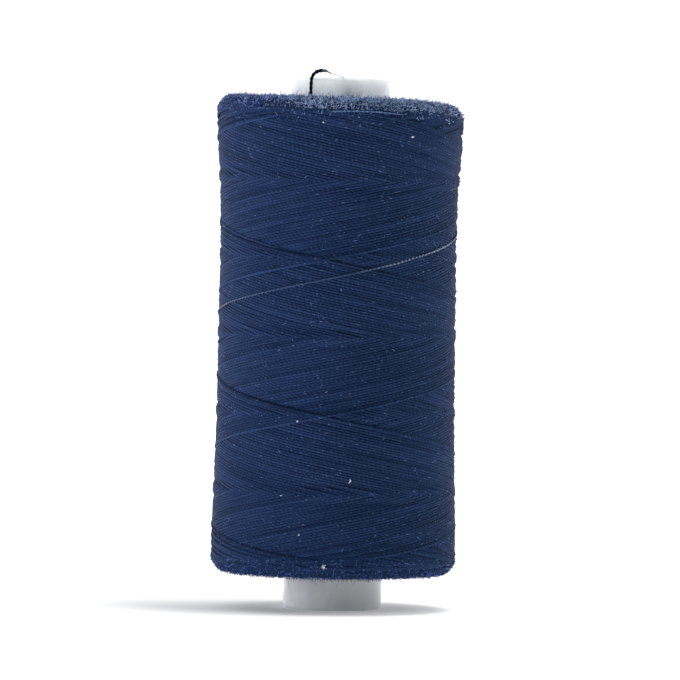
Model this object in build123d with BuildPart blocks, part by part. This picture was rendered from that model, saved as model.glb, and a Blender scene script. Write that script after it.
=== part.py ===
"""Spool of sewing thread: a moulded tube cross-wound with one long spun polyester thread.

The tube stands on the XY plane with its axis on Z. Millimetres, front towards -Y.
"""
import os
from math import cos, pi, radians, sin, tan

from build123d import *

# Tube
TUBE_LENGTH = 72.8
TUBE_RADIUS = 6.75
PIN_BORE_RADIUS = 5.2  # middle stretch of the bore, which runs on the spool pin
RELIEF_RADIUS = 5.7  # wider bore towards each end, where a thread end can be tucked
RELIEF_DEPTH = 26.0
RIM_ROUND = 0.4  # outer edge of each end
MOUTH_ROUND = 0.25  # inner edge of each end
LEAD_IN = 0.4  # slope between relief and pin bore

# Wound package
PACKAGE_BOTTOM = 4.85
PACKAGE_TOP = 70.0
LOWER_SHOULDER_ROUND = 2.4
UPPER_SHOULDER_ROUND = 2.0
LOWER_RIDGE_RADIUS = 16.73  # turnarounds pile up into a low ridge near each end
LOWER_WAIST_RADIUS = 16.34
WAIST_RADIUS = 16.22
UPPER_WAIST_RADIUS = 16.30
UPPER_RIDGE_RADIUS = 16.80
LOWER_WAIST_AT = 0.294  # heights as a fraction of the package's height
WAIST_AT = 0.543
UPPER_WAIST_AT = 0.803

# Thread
THREAD_DIAMETER = 0.32
THREAD_CLEARANCE = 0.02
ARC_SHARE = 0.45  # share of the shorter run that each arc's tangent may take

# Outer end: the last stretch of thread, lying over the winding from the right round the front
OUTER_END_START = 30.0  # azimuth in degrees from +X, anticlockwise from above
OUTER_END_STOP = -182.0
OUTER_END_STEPS = 20
OUTER_END_HIGH = 51.8  # height where it passes +X
OUTER_END_LOW = 40.3  # height where it passes -X
OUTER_END_CORE_RADIUS = (WAIST_RADIUS + UPPER_WAIST_RADIUS) / 2  # the winding's radius under it

# Starting tail: leaves the package beside the tube, arches over the rim, hangs in the relief
TAIL_ROUTE = [
    (-4.10, -5.66, 70.00),
    (-4.10, -5.66, 71.90),
    (-3.97, -5.62, 73.10),
    (-3.22, -5.66, 73.74),
    (-2.10, -5.74, 73.82),
    (-1.25, -5.76, 73.30),
    (0.08, -5.62, 73.20),
    (0.85, -5.40, 72.10),
    (0.97, -5.35, 70.30),
    (0.84, -5.37, 67.20),
    (0.98, -5.34, 62.00),
    (0.80, -5.37, 56.20),
    (0.92, -5.36, 50.00),
]


def turn_at(before, point, after):
    """Angle in degrees by which a route turns at one of its points."""
    return (Vector(point) - Vector(before)).get_angle(Vector(after) - Vector(point))


def arc_radii(route):
    """Largest tangent arc that the two runs beside each inner point leave room for."""
    radii = []
    for before, point, after in zip(route, route[1:], route[2:]):
        shorter = min((Vector(point) - Vector(before)).length, (Vector(after) - Vector(point)).length)
        radii.append(ARC_SHARE * shorter / tan(radians(turn_at(before, point, after) / 2)))
    return radii


def report_strand(label, path_length, radii, solid):
    """Print a strand's arcs and compare its volume with its section times its length."""
    expected = pi * (THREAD_DIAMETER / 2) ** 2 * path_length
    print(label, "radii", [round(radius, 2) for radius in radii])
    print(label, "length", round(path_length, 2), "volume ratio", round(solid.volume / expected, 4))


os.makedirs("parts", exist_ok=True)

# Core tube: one moulding, with a stepped bore that is the same from either end
with BuildPart() as core_tube:
    Cylinder(TUBE_RADIUS, TUBE_LENGTH, align=(Align.CENTER, Align.CENTER, Align.MIN))
    with BuildSketch(Plane.XZ):
        with BuildLine():
            Polyline(
                (0, 0),
                (RELIEF_RADIUS, 0),
                (RELIEF_RADIUS, RELIEF_DEPTH),
                (PIN_BORE_RADIUS, RELIEF_DEPTH + LEAD_IN),
                (PIN_BORE_RADIUS, TUBE_LENGTH - RELIEF_DEPTH - LEAD_IN),
                (RELIEF_RADIUS, TUBE_LENGTH - RELIEF_DEPTH),
                (RELIEF_RADIUS, TUBE_LENGTH),
                (0, TUBE_LENGTH),
                close=True,
            )
        make_face()
    revolve(axis=Axis.Z, mode=Mode.SUBTRACT)
    end_edges = core_tube.edges().filter_by(GeomType.CIRCLE).group_by(Axis.Z)
    rims = end_edges[0].sort_by(SortBy.RADIUS)[-1:] + end_edges[-1].sort_by(SortBy.RADIUS)[-1:]
    mouths = end_edges[0].sort_by(SortBy.RADIUS)[:1] + end_edges[-1].sort_by(SortBy.RADIUS)[:1]
    fillet(rims, radius=RIM_ROUND)
    fillet(mouths, radius=MOUTH_ROUND)
core_tube.part.label = "core_tube"
export_step(core_tube.part, "parts/core_tube.step")

# Thread package: the whole winding as one closed body around the tube
package_height = PACKAGE_TOP - PACKAGE_BOTTOM
with BuildPart() as thread_package:
    with BuildSketch(Plane.XZ):
        with BuildLine():
            lower_ridge = (LOWER_RIDGE_RADIUS, PACKAGE_BOTTOM + LOWER_SHOULDER_ROUND)
            upper_ridge = (UPPER_RIDGE_RADIUS, PACKAGE_TOP - UPPER_SHOULDER_ROUND)
            Line((TUBE_RADIUS, PACKAGE_TOP), (TUBE_RADIUS, PACKAGE_BOTTOM))
            lower_face_edge = (LOWER_RIDGE_RADIUS - LOWER_SHOULDER_ROUND, PACKAGE_BOTTOM)
            Line((TUBE_RADIUS, PACKAGE_BOTTOM), lower_face_edge)
            RadiusArc(lower_face_edge, lower_ridge, -LOWER_SHOULDER_ROUND)
            Spline(
                lower_ridge,
                (LOWER_WAIST_RADIUS, PACKAGE_BOTTOM + LOWER_WAIST_AT * package_height),
                (WAIST_RADIUS, PACKAGE_BOTTOM + WAIST_AT * package_height),
                (UPPER_WAIST_RADIUS, PACKAGE_BOTTOM + UPPER_WAIST_AT * package_height),
                upper_ridge,
                tangents=[(0, 1), (0, 1)],
            )
            upper_face_edge = (UPPER_RIDGE_RADIUS - UPPER_SHOULDER_ROUND, PACKAGE_TOP)
            RadiusArc(upper_ridge, upper_face_edge, -UPPER_SHOULDER_ROUND)
            Line(upper_face_edge, (TUBE_RADIUS, PACKAGE_TOP))
        make_face()
    revolve(axis=Axis.Z)
thread_package.part.label = "thread_package"
export_step(thread_package.part, "parts/thread_package.step")

# Outer end: a half turn and a bit, on the winding's surface
half_step = radians((OUTER_END_START - OUTER_END_STOP) / OUTER_END_STEPS / 2)
outer_corner_radius = (OUTER_END_CORE_RADIUS + THREAD_DIAMETER / 2 + THREAD_CLEARANCE) / cos(half_step)
outer_end_route = []
for step in range(OUTER_END_STEPS + 1):
    azimuth = OUTER_END_START + (OUTER_END_STOP - OUTER_END_START) * step / OUTER_END_STEPS
    outer_end_route.append(
        (
            outer_corner_radius * cos(radians(azimuth)),
            outer_corner_radius * sin(radians(azimuth)),
            OUTER_END_HIGH + (OUTER_END_HIGH - OUTER_END_LOW) * azimuth / 180,
        )
    )
outer_end_radii = arc_radii(outer_end_route)
with BuildPart() as outer_end:
    with BuildLine() as outer_end_path:
        FilletPolyline(*outer_end_route, radius=outer_end_radii)
    with BuildSketch(Plane(outer_end_path.line @ 0, z_dir=outer_end_path.line % 0)):
        Circle(THREAD_DIAMETER / 2)
    sweep(path=outer_end_path.line)
outer_end.part.label = "outer_end"
export_step(outer_end.part, "parts/outer_end.step")
report_strand("outer_end", outer_end_path.wire().length, outer_end_radii, outer_end.part)

# Starting tail: a limp free end
tail_radii = arc_radii(TAIL_ROUTE)
with BuildPart() as thread_tail:
    with BuildLine() as tail_path:
        FilletPolyline(*TAIL_ROUTE, radius=tail_radii)
    with BuildSketch(Plane(tail_path.line @ 0, z_dir=tail_path.line % 0)):
        Circle(THREAD_DIAMETER / 2)
    sweep(path=tail_path.line)
thread_tail.part.label = "thread_tail"
export_step(thread_tail.part, "parts/thread_tail.step")
report_strand("thread_tail", tail_path.wire().length, tail_radii, thread_tail.part)
print("tail turns", [round(turn_at(*corner)) for corner in zip(TAIL_ROUTE, TAIL_ROUTE[1:], TAIL_ROUTE[2:])])
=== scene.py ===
import math

import bpy
import numpy as np
from mathutils import Matrix, Vector


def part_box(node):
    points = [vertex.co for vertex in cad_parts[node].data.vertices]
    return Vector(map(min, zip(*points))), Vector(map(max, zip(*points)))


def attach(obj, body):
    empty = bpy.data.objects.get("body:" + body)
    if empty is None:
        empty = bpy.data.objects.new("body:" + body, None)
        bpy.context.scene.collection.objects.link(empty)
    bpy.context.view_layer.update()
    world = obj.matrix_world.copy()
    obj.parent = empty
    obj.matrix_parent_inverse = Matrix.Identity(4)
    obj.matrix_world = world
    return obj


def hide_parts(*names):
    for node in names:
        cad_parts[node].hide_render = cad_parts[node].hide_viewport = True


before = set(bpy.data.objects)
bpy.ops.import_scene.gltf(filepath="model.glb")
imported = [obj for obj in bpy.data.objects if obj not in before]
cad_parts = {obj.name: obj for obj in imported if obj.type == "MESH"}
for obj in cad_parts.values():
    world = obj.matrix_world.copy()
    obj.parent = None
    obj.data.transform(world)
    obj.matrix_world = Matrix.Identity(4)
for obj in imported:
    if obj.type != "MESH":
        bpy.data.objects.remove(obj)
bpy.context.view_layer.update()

MM = 0.001
rng = np.random.default_rng(11)

# ---------------------------------------------------------------- sizes from the frame, in mm
package_low, package_high = (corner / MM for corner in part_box("thread_package"))
PACKAGE_BOTTOM, PACKAGE_TOP = package_low.z, package_high.z
TUBE_RADIUS = (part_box("core_tube")[1] / MM).x

# ---------------------------------------------------------------- thread, in mm
THREAD_DIAMETER = 0.32
THREAD_HALF_WIDTH = 0.186  # wound thread lies slightly flattened
SEAT_HALF_WIDTH = 0.166  # and sinks a little between its neighbours
THREAD_HALF_HEIGHT = 0.128
PLY_PITCH = 1.3
LINE_SPACING = 0.12  # between the points of a loose strand's line

# ---------------------------------------------------------------- winding law
LEAD = 21.45  # mm of traverse in one turn
DOUBLE_STROKE = 5.98305  # turns from one lower reversal to the next, just under six
STROKE = DOUBLE_STROKE / 2
LOWER_CORNER = 5.6  # height in mm where sharp reversals would be
UPPER_CORNER = LOWER_CORNER + LEAD * STROKE
CORNER_ROUNDING = 0.075  # turns
CORNER_AZIMUTH = math.radians(-93.9)  # azimuth of the last lower reversal, from +X
ROUND_OF_STROKES = 58  # double strokes until the pattern has gone once round

# How far each reversal reaches past its corner, in mm: its least, its swell once in a round of
# strokes, its jitter and how fast the jitter changes from one stroke to the next
LOWER_REACH = (0.0, 1.9, 0.12, 2.4)
UPPER_REACH = (0.25, 0.45, 0.08, 1.7)
REACH_TURNS = 0.42  # how far from a reversal its reach is felt

# Nothing holds the last passes down, so they have slipped a little: turn and mm upwards
LAST_PASSES_SLIP = [
    (-3.0, 0.0), (-2.9, -0.5), (-2.6, -0.5), (-2.3, 0.0),
    (-0.3, 0.0), (0.15, 0.5), (0.6, 0.0), (1.0, -0.2), (1.17, -0.4), (1.5, -0.35),
    (2.0, -0.35), (2.2, -0.95), (2.4, -0.7), (2.7, 0.0),
]

# The last stretch was laid by hand and lies apart from the pattern: its heights in mm where it
# passes +X and -X, and the turns at which it begins and ends, at azimuths of 30 and -182 degrees
OUTER_END_HIGH = 51.8
OUTER_END_LOW = 40.3
OUTER_END_FIRST_TURN = 3.6558
THREAD_END_TURN = 4.2447
LEAVES_PATTERN_AT = 3.22  # the turn from which the thread drifts towards that line
OUTER_END_WHOLE_TURNS = 4  # to add to the winding's azimuth to bring it to those azimuths

# The tail's route in mm, as in the CAD source
TAIL_ROUTE = [
    (-4.10, -5.66, 70.00),
    (-4.10, -5.66, 71.90),
    (-3.97, -5.62, 73.10),
    (-3.22, -5.66, 73.74),
    (-2.10, -5.74, 73.82),
    (-1.25, -5.76, 73.30),
    (0.08, -5.62, 73.20),
    (0.85, -5.40, 72.10),
    (0.97, -5.35, 70.30),
    (0.84, -5.37, 67.20),
    (0.98, -5.34, 62.00),
    (0.80, -5.37, 56.20),
    (0.92, -5.36, 50.00),
]
TAIL_LENGTH = 30.6


# ================================================================ camera
def add_camera():
    """Long lens, slightly above the object, with the small roll of a hand-levelled tripod."""
    frame_width = 93.2 * MM
    distance = 1.5
    pitch = math.radians(2.4)
    roll = math.radians(0.995)
    target = Vector((0.47, 0, 36.8)) * MM
    level_up = Vector((0, math.sin(pitch), math.cos(pitch)))
    level_right = Vector((1, 0, 0))
    back = Vector((0, -math.cos(pitch), math.sin(pitch)))
    up = level_up * math.cos(roll) - level_right * math.sin(roll)
    right = level_right * math.cos(roll) + level_up * math.sin(roll)
    data = bpy.data.cameras.new("camera")
    data.sensor_width = 36
    data.lens = data.sensor_width * distance / frame_width
    data.clip_start, data.clip_end = 0.05, 100
    camera = bpy.data.objects.new("camera", data)
    turn = Matrix((right, up, back)).transposed().to_4x4()
    camera.matrix_world = Matrix.Translation(target + back * distance) @ turn
    bpy.context.scene.collection.objects.link(camera)
    bpy.context.scene.camera = camera


add_camera()


# ================================================================ node helpers
def new_material(name):
    material = bpy.data.materials.new(name)
    material.use_nodes = True
    tree = material.node_tree
    tree.nodes.clear()
    output = tree.nodes.new("ShaderNodeOutputMaterial")
    shader = tree.nodes.new("ShaderNodeBsdfPrincipled")
    tree.links.new(shader.outputs["BSDF"], output.inputs["Surface"])
    return material, tree, shader


def math_node(tree, operation, first, second=None):
    node = tree.nodes.new("ShaderNodeMath")
    node.operation = operation
    for socket, value in zip(node.inputs, (first, second)):
        if value is None:
            continue
        if isinstance(value, (int, float)):
            socket.default_value = value
        else:
            tree.links.new(value, socket)
    return node.outputs[0]


def noise_node(tree, vector, scale, detail=2.0):
    node = tree.nodes.new("ShaderNodeTexNoise")
    node.inputs["Scale"].default_value = scale
    node.inputs["Detail"].default_value = detail
    tree.links.new(vector, node.inputs["Vector"])
    return node.outputs["Fac"]


def ramp_node(tree, value, stops):
    node = tree.nodes.new("ShaderNodeValToRGB")
    elements = node.color_ramp.elements
    while len(elements) < len(stops):
        elements.new(0.5)
    for element, (place, colour) in zip(elements, stops):
        element.position = place
        element.color = (*colour, 1)
    tree.links.new(value, node.inputs["Fac"])
    return node.outputs["Color"]


def range_node(tree, value, start, stop, low=0.0, high=1.0):
    """Smooth change from low to high as the value goes from start to stop."""
    node = tree.nodes.new("ShaderNodeMapRange")
    node.interpolation_type = "SMOOTHSTEP"
    for socket, number in zip(node.inputs[1:5], (start, stop, low, high)):
        socket.default_value = number
    tree.links.new(value, node.inputs["Value"])
    return node.outputs[0]


def mix_node(tree, weight, first, second):
    node = tree.nodes.new("ShaderNodeMix")
    node.data_type = "RGBA"
    tree.links.new(weight, node.inputs[0])
    tree.links.new(first, node.inputs[6])
    node.inputs[7].default_value = (*second, 1)
    return node.outputs[2]


def bump_node(tree, height, strength, distance):
    node = tree.nodes.new("ShaderNodeBump")
    node.inputs["Strength"].default_value = strength
    node.inputs["Distance"].default_value = distance
    tree.links.new(height, node.inputs["Height"])
    return node.outputs["Normal"]


# ================================================================ materials
def thread_material(name, dark, light, twist_depth, roughness=0.6, specular=0.02, pale=None):
    """Spun polyester: two plies twisted together, uneven dye and a soft sheen.

    pale is a stretch (start, full, fading, end) in mm along the strand where a painted highlight
    lightens it, the colour of that highlight, and whether only the crests of its plies take it.
    """
    material, tree, shader = new_material(name)
    coordinates = tree.nodes.new("ShaderNodeUVMap")
    coordinates.uv_map = "strand"
    split = tree.nodes.new("ShaderNodeSeparateXYZ")
    tree.links.new(coordinates.outputs["UV"], split.inputs[0])
    along, around = split.outputs[0], split.outputs[1]
    plies = math_node(tree, "MULTIPLY", along, 2 / PLY_PITCH)
    phase = math_node(tree, "MULTIPLY", math_node(tree, "ADD", plies, around), 2 * math.pi)
    ply_wave = math_node(tree, "SINE", phase)
    stretch = tree.nodes.new("ShaderNodeCombineXYZ")
    tree.links.new(math_node(tree, "MULTIPLY", along, 1.6), stretch.inputs[0])
    tree.links.new(math_node(tree, "MULTIPLY", around, 5.0), stretch.inputs[1])
    fibres = noise_node(tree, stretch.outputs[0], 2.2, 5.0)
    patches = noise_node(tree, stretch.outputs[0], 0.05, 2.0)
    # The tone attribute holds each pass's dye and, on the left, the painted shadow line and painted highlight
    # of the last passes.
    tone = tree.nodes.new("ShaderNodeAttribute")
    tone.attribute_name = "tone"
    # The ply wave also darkens the colour in the grooves between the plies, a painted shade.
    shade = math_node(tree, "ADD", math_node(tree, "MULTIPLY", ply_wave, 0.08), tone.outputs["Fac"])
    shade = math_node(tree, "ADD", shade, math_node(tree, "MULTIPLY", fibres, 0.6))
    shade = math_node(tree, "ADD", shade, math_node(tree, "MULTIPLY", patches, 0.4))
    # Below dark and above light lie the strongest random tone and the painted shade and painted highlight of
    # the last passes.
    shadowed = tuple(0.3 * value for value in dark)
    palest = tuple(1.8 * value for value in light)
    colour = ramp_node(tree, shade, [(0.0, shadowed), (0.34, dark), (0.66, light), (1.0, palest)])
    # The pale stretch is a painted highlight mixed into the colour.
    if pale:
        (start, full, fading, end), highlight_colour, only_crests = pale
        begins = range_node(tree, along, start, full)
        lasts = range_node(tree, along, end, fading)
        weight = math_node(tree, "MULTIPLY", begins, lasts)
        if only_crests:
            crest_angle = math_node(tree, "MULTIPLY", plies, 2 * math.pi)
            crest_phase = math_node(tree, "ADD", crest_angle, -math.pi / 2)
            crests = range_node(tree, math_node(tree, "SINE", crest_phase), -0.2, 0.8)
            weight = math_node(tree, "MULTIPLY", weight, math_node(tree, "MULTIPLY", crests, fibres))
        colour = mix_node(tree, weight, colour, highlight_colour)
    tree.links.new(colour, shader.inputs["Base Color"])
    relief = math_node(tree, "ADD", math_node(tree, "MULTIPLY", ply_wave, 0.5), fibres)
    tree.links.new(bump_node(tree, relief, twist_depth, 0.03 * MM), shader.inputs["Normal"])
    shader.inputs["Roughness"].default_value = roughness
    shader.inputs["Specular IOR Level"].default_value = specular
    shader.inputs["Sheen Weight"].default_value = 0.045
    shader.inputs["Sheen Roughness"].default_value = 0.5
    shader.inputs["Sheen Tint"].default_value = (0.75, 0.80, 1.00, 1)
    return material


def fuzz_material(name, dark, light, bright_share):
    """Loose fibres: each takes its own tone, and about the bright share of them is light."""
    material, tree, shader = new_material(name)
    coordinates = tree.nodes.new("ShaderNodeUVMap")
    coordinates.uv_map = "strand"
    split = tree.nodes.new("ShaderNodeSeparateXYZ")
    tree.links.new(coordinates.outputs["UV"], split.inputs[0])
    number = math_node(tree, "FLOOR", math_node(tree, "ADD", split.outputs[1], 0.01))
    chance = tree.nodes.new("ShaderNodeTexWhiteNoise")
    chance.noise_dimensions = "1D"
    tree.links.new(number, chance.inputs["W"])
    stops = [(1 - 2.2 * bright_share, dark), (1 - 0.9 * bright_share, light)]
    colour = ramp_node(tree, chance.outputs["Value"], stops)
    tree.links.new(colour, shader.inputs["Base Color"])
    shader.inputs["Roughness"].default_value = 0.35
    shader.inputs["Specular IOR Level"].default_value = 0.05
    return material


def tube_material():
    """Moulded polypropylene, milky and faintly blue, with a fine moulded grain and soft flow marks."""
    material, tree, shader = new_material("tube_plastic")
    coordinates = tree.nodes.new("ShaderNodeTexCoord")
    flow = noise_node(tree, coordinates.outputs["Object"], 160.0, 3.0)
    colour = ramp_node(tree, flow, [(0.30, (0.60, 0.64, 0.67)), (0.75, (0.68, 0.72, 0.75))])
    tree.links.new(colour, shader.inputs["Base Color"])
    grain = noise_node(tree, coordinates.outputs["Object"], 4200.0, 2.0)
    tree.links.new(bump_node(tree, grain, 0.12, 0.02 * MM), shader.inputs["Normal"])
    rough = math_node(tree, "MULTIPLY_ADD", flow, 0.16)
    rough.node.inputs[2].default_value = 0.20
    tree.links.new(rough, shader.inputs["Roughness"])
    shader.inputs["Subsurface Weight"].default_value = 0.9
    shader.inputs["Subsurface Radius"].default_value = (7.0 * MM, 7.4 * MM, 7.8 * MM)
    shader.inputs["Subsurface Scale"].default_value = 1.0
    shader.inputs["IOR"].default_value = 1.49
    return material


WOUND = thread_material("thread_wound", (0.0038, 0.0132, 0.0445), (0.018, 0.0415, 0.116), 0.6)
# The outer end's pale beads on its ply crests, from 12 to 36 mm along, are a painted highlight.
LOOSE = thread_material(
    "thread_loose", (0.006, 0.022, 0.075), (0.020, 0.052, 0.150), 0.8, 0.25, 0.4,
    pale=((12.0, 18.0, 27.0, 36.0), (0.40, 0.52, 0.70), True),
)
# The rim strand's light colour is a painted highlight.
RIM_STRAND_HIGHLIGHT = thread_material("thread_rim_highlight", (0.030, 0.060, 0.150), (0.200, 0.290, 0.520), 0.8)
# The tail's pale stretch, from 4.9 to 9.6 mm along over its arch, is a painted highlight.
TAIL = thread_material(
    "thread_tail", (0.003, 0.007, 0.020), (0.008, 0.018, 0.050), 0.8,
    pale=((4.9, 6.6, 8.6, 9.6), (0.45, 0.50, 0.52), False),
)
FUZZ = fuzz_material("thread_fuzz", (0.004, 0.018, 0.064), (0.26, 0.38, 0.78), 0.11)
RIM_FUZZ = fuzz_material("rim_fuzz", (0.004, 0.016, 0.072), (0.20, 0.34, 0.90), 0.16)
# The frayed fibres' light share is a painted highlight: fibres catching the light.
FRAYED_GLINT_FUZZ = fuzz_material("frayed_glint_fuzz", (0.003, 0.015, 0.095), (0.52, 0.70, 1.00), 0.36)
LINT_FIBRE = fuzz_material("lint_fibre", (0.75, 0.80, 0.86), (0.95, 0.97, 1.00), 0.4)
PLASTIC = tube_material()


# ================================================================ mesh helpers
def unit(vectors):
    return vectors / np.maximum(np.linalg.norm(vectors, axis=-1, keepdims=True), 1e-9)


def tubes_mesh(name, points, outward, half_width, half_height, sides, tone=None):
    """Closed tubes as one mesh.

    points (in mm) and outward are (tubes, steps, 3); the half sizes in mm and tone fit (tubes, steps).
    """
    count, steps, _ = points.shape
    forward = unit(np.gradient(points, axis=1))
    outward = unit(outward - (outward * forward).sum(-1, keepdims=True) * forward)
    sideways = np.cross(forward, outward)
    turn = 2 * np.pi * np.arange(sides) / sides
    wide = np.broadcast_to(half_width, (count, steps))[..., None, None]
    high = np.broadcast_to(half_height, (count, steps))[..., None, None]
    rings = (
        points[:, :, None]
        + wide * np.cos(turn)[:, None] * sideways[:, :, None]
        + high * np.sin(turn)[:, None] * outward[:, :, None]
    )
    side = np.arange(sides)
    following = (side + 1) % sides
    ring = (np.arange(count)[:, None, None] * steps + np.arange(steps - 1)[:, None]) * sides
    walls = np.stack([ring + side, ring + sides + side, ring + sides + following, ring + following], -1)
    first = np.arange(count)[:, None] * steps * sides + side
    last = first[:, ::-1] + (steps - 1) * sides
    faces = walls.reshape(-1, 4).tolist() + first.tolist() + last.tolist()
    mesh = bpy.data.meshes.new(name)
    mesh.from_pydata((rings.reshape(-1, 3) * MM).tolist(), [], faces)
    mesh.polygons.foreach_set("use_smooth", np.ones(len(mesh.polygons), bool))
    add_strand_uv(mesh, points, sides)
    if tone is not None:
        layer = mesh.attributes.new("tone", "FLOAT", "POINT")
        layer.data.foreach_set("value", np.repeat(tone, sides))
    return mesh


def add_strand_uv(mesh, points, sides):
    """UV x is the distance along each tube in mm, y its number plus the fraction of the way round."""
    count, steps, _ = points.shape
    lengths = np.linalg.norm(np.diff(points, axis=1), axis=-1)
    along = np.concatenate([np.zeros((count, 1)), lengths.cumsum(1)], 1)
    here = np.broadcast_to(along[:, :-1, None], (count, steps - 1, sides))
    ahead = np.broadcast_to(along[:, 1:, None], (count, steps - 1, sides))
    low = np.arange(count)[:, None, None] + np.broadcast_to(np.arange(sides) / sides, here.shape)
    high = low + 1 / sides
    walls = np.stack([here, low, ahead, low, ahead, high, here, high], -1).reshape(-1)
    number = np.repeat(np.arange(count), sides)
    starts = np.stack([np.zeros(count * sides), number], -1).reshape(-1)
    ends = np.stack([np.repeat(along[:, -1], sides), number], -1).reshape(-1)
    layer = mesh.uv_layers.new(name="strand")
    layer.data.foreach_set("uv", np.concatenate([walls, starts, ends]))


def add_piece(name, mesh, material):
    piece = bpy.data.objects.new(name, mesh)
    bpy.context.scene.collection.objects.link(piece)
    mesh.materials.append(material)
    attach(piece, "root")
    return piece


def around(azimuth, radius, height):
    """Points in mm from cylindrical coordinates."""
    return np.stack([radius * np.cos(azimuth), radius * np.sin(azimuth), height], -1)


def radial(azimuth):
    return around(azimuth, 1.0, np.zeros_like(azimuth))


def smooth_step(value):
    value = np.clip(value, 0, 1)
    return value * value * (3 - 2 * value)


def wander(length, spacing, size):
    """Smooth random drift along a path of that many samples."""
    knots = rng.normal(0, size, length // spacing + 3)
    return np.interp(np.arange(length), np.arange(len(knots)) * spacing, knots)


def distance_along(line):
    """Distance of each point of a line from its first point."""
    return np.concatenate([[0], np.linalg.norm(np.diff(line, axis=0), axis=-1).cumsum()])


def interpolate(wanted, along, vectors):
    """The vectors at the wanted distances, from those at the distances along."""
    return np.stack([np.interp(wanted, along, vectors[:, axis]) for axis in range(3)], -1)


def twisted_pair(name, centre, outward, material, thickness, spread):
    """A strand drawn as its two plies, twisted round the line centre, which is (steps, 3) in mm.

    thickness is a share of the thread's diameter at each step. spread is how far each ply's own
    line lies from the middle, as a share of that thickness.
    """
    forward = unit(np.gradient(centre, axis=0))
    outward = unit(outward - (outward * forward).sum(-1, keepdims=True) * forward)
    sideways = np.cross(forward, outward)
    along = distance_along(centre)
    ply_radius = THREAD_DIAMETER * thickness * (0.52 - spread)
    offset = (THREAD_DIAMETER * thickness * spread)[:, None]
    plies = []
    for ply in (0, 1):
        angle = (2 * np.pi * along / PLY_PITCH + np.pi * ply)[:, None]
        plies.append(centre + offset * (np.cos(angle) * sideways + np.sin(angle) * outward))
    plies = np.array(plies)
    mesh = tubes_mesh(name, plies, np.array([outward, outward]), ply_radius, ply_radius, 8)
    return add_piece(name, mesh, material)


# ================================================================ tail
def spline_points(route, spacing):
    """Points in mm along the smooth line of a route, evenly spaced."""
    data = bpy.data.curves.new("route", "CURVE")
    data.dimensions = "3D"
    spline = data.splines.new("NURBS")
    spline.points.add(len(route) - 1)
    for point, place in zip(spline.points, route):
        point.co = (*(MM * value for value in place), 1)
    spline.order_u = 3
    spline.use_endpoint_u = True
    data.resolution_u = 24
    holder = bpy.data.objects.new("route", data)
    bpy.context.scene.collection.objects.link(holder)
    mesh = bpy.data.meshes.new_from_object(holder)
    line = np.array([vertex.co for vertex in mesh.vertices]) / MM
    bpy.data.objects.remove(holder)
    bpy.data.meshes.remove(mesh)
    along = distance_along(line)
    even = np.linspace(0, along[-1], int(along[-1] / spacing) + 1)
    return interpolate(even, along, line)


# The tail's thickness as a share of the thread's diameter. Distances are in mm along the tail.
TAIL_THICKNESS = 1.55
THIN_PLACE_LOSS = 1.1
THIN_PLACE_START, THIN_PLACE_STOP = 4.6, 9.5
THINS_OVER, THICKENS_OVER = 1.8, 2
LOOSENED_GAIN = 0.25
LOOSENED_AT, LOOSENED_REACH = 4.3, 0.9


def add_tail():
    """The starting end: it arches over the rim, thinnest on the far side, and hangs in the bore."""
    line = spline_points(TAIL_ROUTE, LINE_SPACING)
    outward = np.broadcast_to(np.array([0.3, -1.0, 0.2]), line.shape)
    along = np.linspace(0, TAIL_LENGTH, len(line))
    thinning = smooth_step((along - THIN_PLACE_START) / THINS_OVER)
    thin_place = thinning * smooth_step((THIN_PLACE_STOP - along) / THICKENS_OVER)
    loosened = np.exp(-((along - LOOSENED_AT) / LOOSENED_REACH) ** 2)
    thickness = TAIL_THICKNESS - THIN_PLACE_LOSS * thin_place + LOOSENED_GAIN * loosened
    tail = twisted_pair("thread_tail_strand", line, outward, TAIL, thickness, 0.21)
    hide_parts("thread_tail")


add_tail()


# ================================================================ winding
def package_profile():
    """Outer radius of the package as a function of height, read from its CAD mesh, in mm."""
    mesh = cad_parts["thread_package"].data
    places = np.array([vertex.co for vertex in mesh.vertices]) / MM
    radius = np.hypot(places[:, 0], places[:, 1])
    outer = radius > TUBE_RADIUS + 1
    heights, radii = places[outer, 2], radius[outer]
    order = np.argsort(heights)
    levels, first = np.unique(np.round(heights[order], 3), return_index=True)
    largest = np.maximum.reduceat(radii[order], first)
    return lambda height: np.interp(height, levels, largest)


profile = package_profile()


def winding_azimuth(turn):
    return CORNER_AZIMUTH - 2 * np.pi * turn


def reversal_reach(stroke, least, swell, jitter, jitter_rate):
    """How far in mm the reversal at the end of each stroke goes past its corner."""
    swollen = least + swell * np.sin(np.pi * stroke / ROUND_OF_STROKES) ** 2
    return swollen + jitter * np.sin(stroke * jitter_rate)


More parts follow.
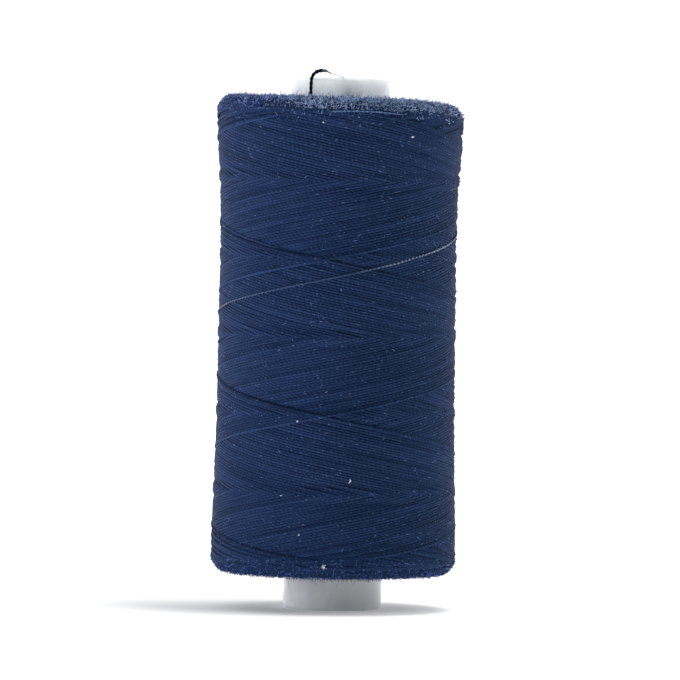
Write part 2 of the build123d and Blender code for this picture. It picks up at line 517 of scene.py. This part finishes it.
def traverse_height(turn):
    """Height of the thread in mm after that many turns, counted from the last lower reversal."""
    phase = np.mod(turn / DOUBLE_STROKE, 1)
    from_lower = DOUBLE_STROKE * np.minimum(phase, 1 - phase)
    from_upper = STROKE - from_lower
    nearest = np.minimum(from_lower, from_upper)
    middle = STROKE / 2
    excess = math.hypot(middle, CORNER_ROUNDING) - middle
    rounded = np.hypot(nearest, CORNER_ROUNDING) - excess * nearest / middle
    lower_half = from_lower < from_upper
    height = np.where(lower_half, LOWER_CORNER + LEAD * rounded, UPPER_CORNER - LEAD * rounded)
    stroke = np.round(np.where(lower_half, -turn, STROKE - turn) / DOUBLE_STROKE)
    lower_reach = reversal_reach(stroke, *LOWER_REACH)
    upper_reach = reversal_reach(stroke, *UPPER_REACH)
    towards_end = np.clip(1 - nearest / REACH_TURNS, 0, 1) ** 2
    height = height - np.where(lower_half, lower_reach, -upper_reach) * towards_end
    azimuth = winding_azimuth(turn) + 2 * np.pi * OUTER_END_WHOLE_TURNS
    hand_laid = OUTER_END_HIGH + (OUTER_END_HIGH - OUTER_END_LOW) * azimuth / np.pi
    weight = smooth_step((turn - LEAVES_PATTERN_AT) / (OUTER_END_FIRST_TURN - LEAVES_PATTERN_AT))
    slipped = np.interp(turn, *zip(*LAST_PASSES_SLIP))
    return height + slipped + weight * (hand_laid - height)


PACKING = 0.55  # share of the piled-up relief that is left after the thread has flattened
SUNK, PROUD = -0.35, 0.11  # mm: the limits of what is left
NEWEST_PROUD = 0.03  # mm by which the last pass up and the last pass down stand out
END_ZONE_FROM = 26  # mm from mid height, where the relief starts to go
END_ZONE_OVER = 4
END_ZONE_LOSS = 0.6

# The pile is a grid of heights: columns round the package, and rows CELL mm apart up it
COLUMNS = 720
CELL = 0.1
FLOOR_OF_GRID = PACKAGE_BOTTOM - 1
ROWS_UNDER_STRAND = (-2, -1, 0, 1, 2)
CHUNK = 640  # samples laid at once, under one turn so that none lies on its own chunk
OVERLAP = 16  # samples more on each side, for the thread's tautness


def crest(under, row, height):
    """Top of a strand at that height over a grid row, if it rests on what is under it; 0 beside it."""
    away = (row * CELL + FLOOR_OF_GRID - height) / SEAT_HALF_WIDTH
    crown = THREAD_HALF_HEIGHT * np.sqrt(np.clip(1 - away**2, 0, 1))
    return np.where(np.abs(away) < 1, under + crown, 0)


def wind():
    """Lay two whole rounds of strokes, each strand resting on what it crosses.

    Returns the turn, azimuth, height and lift off the mean surface of each sample of the thread.
    """
    first_turn = -2 * ROUND_OF_STROKES * DOUBLE_STROKE
    samples = int((THREAD_END_TURN - first_turn) * COLUMNS)
    turn = THREAD_END_TURN - np.arange(samples)[::-1] / COLUMNS
    azimuth = winding_azimuth(turn)
    height = traverse_height(turn)
    height = height + wander(samples, 60, 0.012) + wander(samples, 500, 0.014)
    column = np.round(azimuth * COLUMNS / (2 * np.pi)).astype(int) % COLUMNS
    pile = np.zeros((COLUMNS, int((PACKAGE_TOP - FLOOR_OF_GRID + 2) / CELL)))
    lift = np.zeros(samples)
    for start in range(0, samples, CHUNK):
        begin = max(start - OVERLAP, 0)
        part = slice(begin, min(start + CHUNK + OVERLAP, samples))
        across = column[part]
        nearest = np.round((height[part] - FLOOR_OF_GRID) / CELL).astype(int)
        rest = np.zeros(len(across))
        for offset in ROWS_UNDER_STRAND:
            row = nearest + offset
            rest = np.maximum(rest, crest(pile[across, row], row, height[part]))
        taut = bridge(rest, 4, 6)
        keep = slice(start - begin, start - begin + min(CHUNK, samples - start))
        lift[start : start + CHUNK] = taut[keep]
        for offset in ROWS_UNDER_STRAND:
            row = nearest[keep] + offset
            top = crest(taut[keep], row, height[part][keep])
            pile[across[keep], row] = np.maximum(pile[across[keep], row], top)
    row = np.round((height - FLOOR_OF_GRID) / CELL).astype(int)
    around_it = local_mean(local_mean(pile, 12, 0), 9, 1)[column, row]
    from_middle = np.abs(height - (PACKAGE_BOTTOM + PACKAGE_TOP) / 2)
    near_end = smooth_step((from_middle - END_ZONE_FROM) / END_ZONE_OVER)
    lift = PACKING * (1 - END_ZONE_LOSS * near_end) * (lift + THREAD_HALF_HEIGHT - around_it)
    lift = np.clip(lift, SUNK, PROUD) + np.where(turn > -STROKE, NEWEST_PROUD, 0)
    return turn, azimuth, height, lift


def local_mean(grid, reach, axis):
    """Mean over a window along one axis; azimuth (axis 0) wraps round."""
    pads = [(0, 0), (0, 0)]
    pads[axis] = (reach, reach)
    padded = np.pad(grid, pads, mode="wrap" if axis == 0 else "edge")
    return np.lib.stride_tricks.sliding_window_view(padded, 2 * reach + 1, axis=axis).mean(-1)


def windows(values, reach):
    padded = np.pad(values, reach, mode="edge")
    return np.lib.stride_tricks.sliding_window_view(padded, 2 * reach + 1)


def bridge(values, grip, reach):
    """A taut thread passes over hollows within its grip, and bends smoothly over its reach."""
    return windows(windows(values, grip).max(-1), reach).mean(-1)


LOWER_SHOULDER = 2.4
UPPER_SHOULDER = 2.0
TOP_TILT = 0.018  # the upper face leans down to the right: mm down for each mm across
RIGHT_DROP = 0.60  # and its right shoulder is worn rounder, by this many mm at most
RIGHT_DROP_FROM, RIGHT_DROP_OVER = 5, 11
BACK_LEAN = 0.028  # it leans down to the back too, from a line this many mm before the axis:
BACK_LEAN_FROM = 8
LEAN_FROM, LEAN_OVER = 54, 14  # heights over which the strands take up the face's lean
# Painted light on the left of the winding: the last pass down is lightened by this much, a painted highlight,
# and the last pass up darkened by that much, a painted shadow line.
LAST_DOWN_PAINTED_HIGHLIGHT = 0.12
LAST_UP_PAINTED_SHADE = 0.17


def tilt(points):
    """The points in mm, moved with the lean of the package's upper end."""
    weight = smooth_step((points[..., 2] - LEAN_FROM) / LEAN_OVER)
    sideways = points[..., 0]
    worn = RIGHT_DROP * np.clip((sideways - RIGHT_DROP_FROM) / RIGHT_DROP_OVER, 0, 1) ** 2
    points = points.copy()
    backwards = BACK_LEAN * (points[..., 1] + BACK_LEAN_FROM)
    points[..., 2] -= (TOP_TILT * sideways + backwards + worn) * weight
    return points


def pass_dye_and_painted_light(turn, azimuth):
    """Each pass has its own dye; on the left, where the light falls, painted light is added.

    There the last pass up is darkened, a painted shadow line, and the last pass down lightened,
    a painted highlight.
    """
    passes = np.floor(turn / STROKE).astype(int)
    dye = rng.normal(0, 0.035, passes.max() - passes.min() + 1)[passes - passes.min()]
    lit_left_side = smooth_step(-np.cos(azimuth) * 1.6 + 0.1)
    last_up = (turn > 0) & (turn < STROKE)
    last_down = (turn > -STROKE) & (turn < 0)
    newest_painted_light = np.where(last_down, LAST_DOWN_PAINTED_HIGHLIGHT, 0) - np.where(last_up, LAST_UP_PAINTED_SHADE, 0)
    return dye + lit_left_side * newest_painted_light


STRAND_STRIDE = 7  # samples of the thread from one ring of its tube to the next
THICKNESS_WANDER = 0.06


def add_winding():
    """Draw the last round of strokes, one more under it, and the outer end.

    Returns the points, outward directions and lift of the wound thread that is drawn.
    """
    turn, azimuth, height, lift = wind()
    tone = pass_dye_and_painted_light(turn, azimuth)
    radius = profile(height) - THREAD_HALF_HEIGHT + lift
    points = tilt(around(azimuth, radius, height))
    outward = radial(azimuth)
    drawn_from = np.searchsorted(turn, -(ROUND_OF_STROKES + 1.0) * DOUBLE_STROKE)
    wound_to = np.searchsorted(turn, OUTER_END_FIRST_TURN)
    bounds = np.linspace(drawn_from, wound_to, 4).astype(int)
    layers = ("winding_under_strands", "winding_middle_strands", "winding_upper_strands")
    for name, start, stop in zip(layers, bounds, bounds[1:]):
        pick = np.arange(start, stop + 1, STRAND_STRIDE)
        thick = 1 + wander(len(pick), 5, THICKNESS_WANDER)
        mesh = tubes_mesh(
            name, points[None, pick], outward[None, pick],
            THREAD_HALF_WIDTH * thick, THREAD_HALF_HEIGHT * thick, 6, tone[None, pick],
        )
        add_piece(name, mesh, WOUND)
    last = slice(wound_to, None)
    free = points[last] + outward[last] * 0.03
    along = distance_along(free)
    even = np.linspace(0, along[-1], int(along[-1] / LINE_SPACING))
    line = interpolate(even, along, free)
    out = interpolate(even, along, outward[last])
    end = twisted_pair("outer_end_strand", line, out, LOOSE, np.full(len(line), 0.92), 0.26)
    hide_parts("outer_end")
    return points[drawn_from:wound_to], outward[drawn_from:wound_to], lift[drawn_from:wound_to]


def add_rim_strand():
    """One upper reversal has worked loose and lies along the front of the rim; its pale colour is a painted
    highlight.
    """
    middle, reach = math.radians(-78), math.radians(19)
    share = np.linspace(-1, 1, 90)  # of that reach, either way
    azimuth = middle + reach * share
    top, sag = 68.35, 0.25
    height = top - sag * share**2
    clear, tucked = 0.16, 0.22  # mm off the winding in the middle, and back into it at the ends
    radius = profile(height) + clear - tucked * share**4
    line = tilt(around(azimuth, radius, height))
    twisted_pair("rim_strand", line, radial(azimuth), RIM_STRAND_HIGHLIGHT, np.full(len(line), 0.62), 0.24)


def rim_radius(bottom):
    return float(profile(PACKAGE_BOTTOM + LOWER_SHOULDER if bottom else PACKAGE_TOP - UPPER_SHOULDER))


def face_height(radius, bottom):
    """Height of the package's end at a radius: flat, then round over the shoulder."""
    shoulder = LOWER_SHOULDER if bottom else UPPER_SHOULDER
    rim = rim_radius(bottom)
    over = np.clip(radius - (rim - shoulder), 0, shoulder * 0.98)
    drop = shoulder - np.sqrt(shoulder**2 - over**2)
    return PACKAGE_BOTTOM + drop if bottom else PACKAGE_TOP - drop


def add_end_face(name, bottom):
    """The face is made of reversals: short arcs that come out of the winding, touch it and dive."""
    around_count, layer_step = 26, 0.40
    rim = rim_radius(bottom)
    layers = int((rim - 0.3 - TUBE_RADIUS) / layer_step)
    count = layers * around_count
    index = np.arange(count)
    radius = TUBE_RADIUS + 0.2 + layer_step * index / around_count + rng.normal(0, 0.04, count)
    middle = 2 * np.pi * index / around_count + rng.normal(0, 0.10, count)
    steps = np.linspace(-0.40, 0.40, 13)
    azimuth = middle[:, None] + steps
    dive = LEAD / (2 * np.pi) * (np.hypot(steps, 0.45) - 0.45)
    rise = rng.uniform(0, 0.10, count)[:, None] + dive
    height = face_height(radius, bottom)[:, None] + (1 if bottom else -1) * (rise + THREAD_HALF_HEIGHT)
    points = around(azimuth, np.broadcast_to(radius[:, None], azimuth.shape), height)
    axial = np.zeros_like(points)
    axial[..., 2] = -1 if bottom else 1
    over = np.clip((radius - (rim - 2)) / 2, 0, 1)[:, None, None]
    outward = unit(axial * (1 - over) + radial(azimuth) * over)
    mesh = tubes_mesh(name, tilt(points), outward, THREAD_HALF_WIDTH, THREAD_HALF_HEIGHT, 6)
    return add_piece(name, mesh, WOUND)


CORE_INSET = 0.28  # mm inside the package's surface, about one strand
CORE_CORNER = 1.8
CORE_WALL_FROM = 2.2  # mm from each end face, where the straight wall begins


def core_outline():
    """Half section of the core as (radius, height) in mm, from the tube round to the tube again."""
    bottom, top = PACKAGE_BOTTOM + CORE_INSET, PACKAGE_TOP - CORE_INSET
    heights = np.linspace(PACKAGE_BOTTOM + CORE_WALL_FROM, PACKAGE_TOP - CORE_WALL_FROM, 40)
    radii = profile(heights) - CORE_INSET
    corner = np.linspace(0, np.pi / 2, 6)
    lower_corner = np.stack([
        radii[0] - CORE_CORNER + CORE_CORNER * np.sin(corner),
        bottom + CORE_CORNER - CORE_CORNER * np.cos(corner),
    ], -1)
    wall = np.stack([radii[1:-1], heights[1:-1]], -1)
    upper_corner = np.stack([
        radii[-1] - CORE_CORNER + CORE_CORNER * np.cos(corner),
        top - CORE_CORNER + CORE_CORNER * np.sin(corner),
    ], -1)
    return np.concatenate([
        [(TUBE_RADIUS, bottom)], lower_corner, wall, upper_corner, [(TUBE_RADIUS, top)],
    ])


def add_winding_core():
    """What lies under the visible strands: a closed body of revolution just inside the surface."""
    outline = core_outline()
    segments = 120
    azimuth = 2 * np.pi * np.arange(segments) / segments
    heights = np.broadcast_to(outline[:, 1], (segments, len(outline)))
    rings = tilt(around(azimuth[:, None], outline[:, 0], heights))
    size = len(outline)
    here = np.arange(segments)[:, None] * size
    ahead = (np.arange(segments)[:, None] + 1) % segments * size
    row = np.arange(size)
    above = (row + 1) % size
    faces = np.stack([here + row, ahead + row, ahead + above, here + above], -1).reshape(-1, 4)
    mesh = bpy.data.meshes.new("winding_core")
    mesh.from_pydata((rings.reshape(-1, 3) * MM).tolist(), [], faces.tolist())
    mesh.polygons.foreach_set("use_smooth", np.ones(len(mesh.polygons), bool))
    layer = mesh.uv_layers.new(name="strand")
    corners = np.zeros(len(mesh.loops), int)
    mesh.loops.foreach_get("vertex_index", corners)
    places = rings.reshape(-1, 3)[corners]
    layer.data.foreach_set("uv", np.stack([places[:, 2] * 3, places[:, 0]], -1).reshape(-1))
    core = add_piece("winding_core", mesh, WOUND)
    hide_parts("thread_package")


surface_points, surface_outward, surface_lift = add_winding()
add_rim_strand()
add_end_face("winding_upper_face", bottom=False)
add_end_face("winding_lower_face", bottom=True)
add_winding_core()


# ================================================================ fuzz
def fibres(name, roots, direction, length, curl, thickness, material):
    """Short curved fibres, each a tapered three-sided needle."""
    count = len(roots)
    bend = rng.normal(0, curl, (count, 3))
    step = np.array([0.0, 0.5, 1.0])[None, :, None]
    points = roots[:, None] + length[:, None, None] * (direction[:, None] * step + bend[:, None] * step**2)
    taper = thickness * np.array([1.0, 0.9, 0.45])
    side = np.broadcast_to(rng.normal(0, 1, (count, 1, 3)), points.shape)
    mesh = tubes_mesh(name, points, side, taper, taper, 3)
    return add_piece(name, mesh, material)


def fuzz_share(points):
    """How rubbed the winding is: in patches, more on the right and towards both ends."""
    azimuth = np.arctan2(points[:, 1], points[:, 0])
    patches = sum(
        np.sin(azimuth * waves + points[:, 2] * slope + shift)
        for waves, slope, shift in ((3, 0.31, 0.4), (5, -0.22, 2.0), (8, 0.57, 4.1), (13, -0.83, 1.3))
    )
    towards_end = np.exp(-(PACKAGE_TOP - points[:, 2]) / 3.0) + np.exp(-(points[:, 2] - PACKAGE_BOTTOM) / 3.0)
    return np.clip(0.5 + 0.13 * patches + 0.2 * np.cos(azimuth) + towards_end, 0.08, None)


BODY_FIBRES_EACH = 13500  # in each of the four pieces
BURIED = -0.10  # mm of lift under which a strand's fibres don't show


def add_body_fuzz():
    """Fibres that stand off the wound thread, lying mostly along it."""
    visible = np.flatnonzero(surface_lift[:-1] > BURIED)
    share = fuzz_share(surface_points[visible])
    share /= share.sum()
    for name in ("body_fuzz_a", "body_fuzz_b", "body_fuzz_c", "body_fuzz_d"):
        pick = rng.choice(visible, BODY_FIBRES_EACH, p=share)
        forward = unit(surface_points[pick + 1] - surface_points[pick])
        forward *= rng.choice([-1.0, 1.0], (len(pick), 1))
        lifted = surface_outward[pick] * rng.exponential(0.45, (len(pick), 1))
        direction = unit(forward + lifted + rng.normal(0, 0.5, forward.shape))
        roots = surface_points[pick] + surface_outward[pick] * 0.09
        length = np.clip(0.07 + rng.exponential(0.10, len(pick)), 0, 0.6)
        fibres(name, roots, direction, length, 0.35, 0.024, FUZZ)


RAGGED_EDGE = 0.45  # mm by which the worn edge reaches along the winding, in the mean


def add_rim_fuzz(name, bottom, count, spread, reach, material, span=None, thickness=0.027):
    """The worn edge of an end: dense short fibres, within about that span of x in mm; a span keeps
    light fibres, a painted highlight, towards the right, where the light falls.

    spread and reach are the mean distance in mm from the rim inwards and the mean added length.
    """
    tries = 2 * count
    azimuth = rng.uniform(0, 2 * np.pi, tries)
    radius = rim_radius(bottom) - 0.05 - rng.exponential(spread, tries)
    radius = np.where(radius < TUBE_RADIUS + 0.3, rng.uniform(TUBE_RADIUS + 0.3, 15, tries), radius)
    if span:
        sideways = radius * np.cos(azimuth) + rng.normal(0, 4.0, tries)
        kept = (sideways > span[0]) & (sideways < span[1])
        azimuth, radius = azimuth[kept], radius[kept]
    azimuth, radius = azimuth[:count], radius[:count]
    count = len(azimuth)
    over = np.clip((radius - (rim_radius(bottom) - 2)) / 2, 0, 1)[:, None]
    ragged = rng.exponential(RAGGED_EDGE, count) * over[:, 0] ** 4
    height = face_height(radius, bottom) + (ragged if bottom else -ragged)
    roots = tilt(around(azimuth, radius, height))
    axial = np.array([0, 0, -1.0 if bottom else 1.0])
    outward = unit(axial * (1 - over * 0.7) + radial(azimuth) * over)
    direction = unit(outward * 0.8 + rng.normal(0, 0.8, outward.shape))
    length = np.clip(0.08 + rng.exponential(reach, count), 0, 0.6)
    fibres(name, roots, direction, length, 0.7, thickness, material)


# Specks of pale lint: azimuth in degrees from +X, height and size in mm
LINT = [
    (-82.4, 18.4, 0.30),
    (-94.2, 6.7, 0.42),
    (-106.2, 10.9, 0.18),
    (-115.4, 16.1, 0.16),
    (-108.2, 26.3, 0.15),
    (-115.5, 69.5, 0.24),
    (-97.9, 67.0, 0.14),
    (-54.0, 65.1, 0.14),
    (38.0, 57.0, 0.20),
    (150.0, 31.0, 0.25),
    (95.0, 14.0, 0.18),
]


LINT_FIBRES = 18  # in each speck


def add_lint():
    """Each speck is a little crumpled tuft of pale fibres."""
    tufts, outs, lengths = [], [], []
    for azimuth, height, size in LINT:
        turn = math.radians(azimuth)
        out = np.array([math.cos(turn), math.sin(turn), 0.0])
        place = out * (float(profile(height)) + 0.06) + np.array([0, 0, height])
        tufts.append(place + rng.normal(0, size * 0.2, (LINT_FIBRES, 3)) * (1 - 0.7 * np.abs(out)))
        outs.append(np.tile(out, (LINT_FIBRES, 1)))
        lengths.append(rng.uniform(0.4, 0.9, LINT_FIBRES) * size)
    outs = np.concatenate(outs)
    direction = unit(outs * 0.3 + rng.normal(0, 1, outs.shape))
    fibres("lint", np.concatenate(tufts), direction, np.concatenate(lengths), 0.5, 0.035, LINT_FIBRE)


add_lint()
add_body_fuzz()
add_rim_fuzz("upper_rim_fuzz", bottom=False, count=13500, spread=2.2, reach=0.13, material=RIM_FUZZ)
# Frayed fibres on the right of the upper rim; their light share is a painted highlight.
for name, spread in (("upper_rim_frayed_glint_a", 1.3), ("upper_rim_frayed_glint_b", 4.0)):
    add_rim_fuzz(
        name, bottom=False, count=13500, spread=spread, reach=0.09, material=FRAYED_GLINT_FUZZ,
        span=(-6.0, 13.0), thickness=0.042,
    )
add_rim_fuzz("lower_rim_fuzz", bottom=True, count=9000, spread=1.6, reach=0.12, material=RIM_FUZZ)

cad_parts["core_tube"].data.materials.clear()
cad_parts["core_tube"].data.materials.append(PLASTIC)


# ================================================================ stage and light
FLOOR_REACH = 30
SHADE_CENTRE = (-0.011, 0.007, 0)  # of the spool's painted shadow on the floor, an ellipse
SHADE_SIZE = (0.025, 0.021, 1)
SHADE_INNER, SHADE_OUTER = 0.5, 2.25  # as shares of that size
FLOOR_GLOW_SHADED, FLOOR_GLOW = 0.08, 0.95  # painted light: the floor glows white, and less in the ellipse, a painted shadow


# The floor glows, a painted light, and glows less in an ellipse under the spool, a painted shadow; the lamps
# add their own light and shadows.
def add_floor():
    mesh = bpy.data.meshes.new("floor")
    reach = FLOOR_REACH
    corners = [(-reach, -reach, 0), (reach, -reach, 0), (reach, reach, 0), (-reach, reach, 0)]
    mesh.from_pydata(corners, [], [(0, 1, 2, 3)])
    floor = bpy.data.objects.new("floor", mesh)
    bpy.context.scene.collection.objects.link(floor)
    material, tree, shader = new_material("floor_white")
    shader.inputs["Base Color"].default_value = (0.85, 0.85, 0.85, 1)
    shader.inputs["Roughness"].default_value = 0.9
    shader.inputs["Specular IOR Level"].default_value = 0.0
    shader.inputs["Emission Color"].default_value = (1, 1, 1, 1)
    place = tree.nodes.new("ShaderNodeTexCoord").outputs["Object"]
    for operation, value in (("SUBTRACT", SHADE_CENTRE), ("DIVIDE", SHADE_SIZE), ("LENGTH", None)):
        node = tree.nodes.new("ShaderNodeVectorMath")
        node.operation = operation
        tree.links.new(place, node.inputs[0])
        if value:
            node.inputs[1].default_value = value
        place = node.outputs["Vector" if value else "Value"]
    glow = range_node(tree, place, SHADE_INNER, SHADE_OUTER, FLOOR_GLOW_SHADED, FLOOR_GLOW)
    tree.links.new(glow, shader.inputs["Emission Strength"])
    mesh.materials.append(material)


MID_SPOOL = Vector((0, 0, 0.036))


def add_light(name, place, size, power, colour=(1, 1, 1), diffuse=True, glossy=True):
    """A round lamp that faces the middle of the spool; size in metres, power in watts."""
    data = bpy.data.lights.new(name, "AREA")
    data.shape = "DISK"
    data.size = size
    data.energy = power
    data.color = colour
    lamp = bpy.data.objects.new(name, data)
    lamp.location = place
    aim = MID_SPOOL - Vector(place)
    lamp.rotation_euler = aim.to_track_quat("-Z", "Y").to_euler()
    lamp.visible_camera = False
    lamp.visible_diffuse = diffuse
    lamp.visible_glossy = glossy
    bpy.context.scene.collection.objects.link(lamp)


BRIGHTEST_TOWARDS = (-0.24, 0.94, -0.25)
WORLD_DIM, WORLD_BRIGHT = 0.03, 1.95


def add_world():
    """White surroundings: bright behind the object, a little left and low down, and dim in front."""
    world = bpy.data.worlds.new("studio")
    bpy.context.scene.world = world
    world.use_nodes = True
    tree = world.node_tree
    coordinates = tree.nodes.new("ShaderNodeTexCoord")
    towards = tree.nodes.new("ShaderNodeVectorMath")
    towards.operation = "DOT_PRODUCT"
    towards.inputs[1].default_value = BRIGHTEST_TOWARDS
    tree.links.new(coordinates.outputs["Generated"], towards.inputs[0])
    background = tree.nodes["Background"]
    background.inputs["Color"].default_value = (1, 1, 1, 1)
    strength = range_node(tree, towards.outputs["Value"], -0.5, 0.5, WORLD_DIM, WORLD_BRIGHT)
    tree.links.new(strength, background.inputs["Strength"])


add_floor()
add_world()
add_light("key_left", (-0.80, -0.20, 0.12), size=0.35, power=3.4, colour=(0.98, 0.98, 1.12), glossy=False)
add_light("glint_right", (0.70, -0.40, 0.25), size=0.10, power=3.0, diffuse=False)
add_light("rim_right", (0.45, 0.22, 0.22), size=0.20, power=0.55, glossy=False)
add_light("overhead_right", (0.15, 0.03, 0.70), size=0.26, power=1.6, colour=(1.00, 1.02, 0.96))
bpy.context.scene.view_settings.view_transform = "Standard"
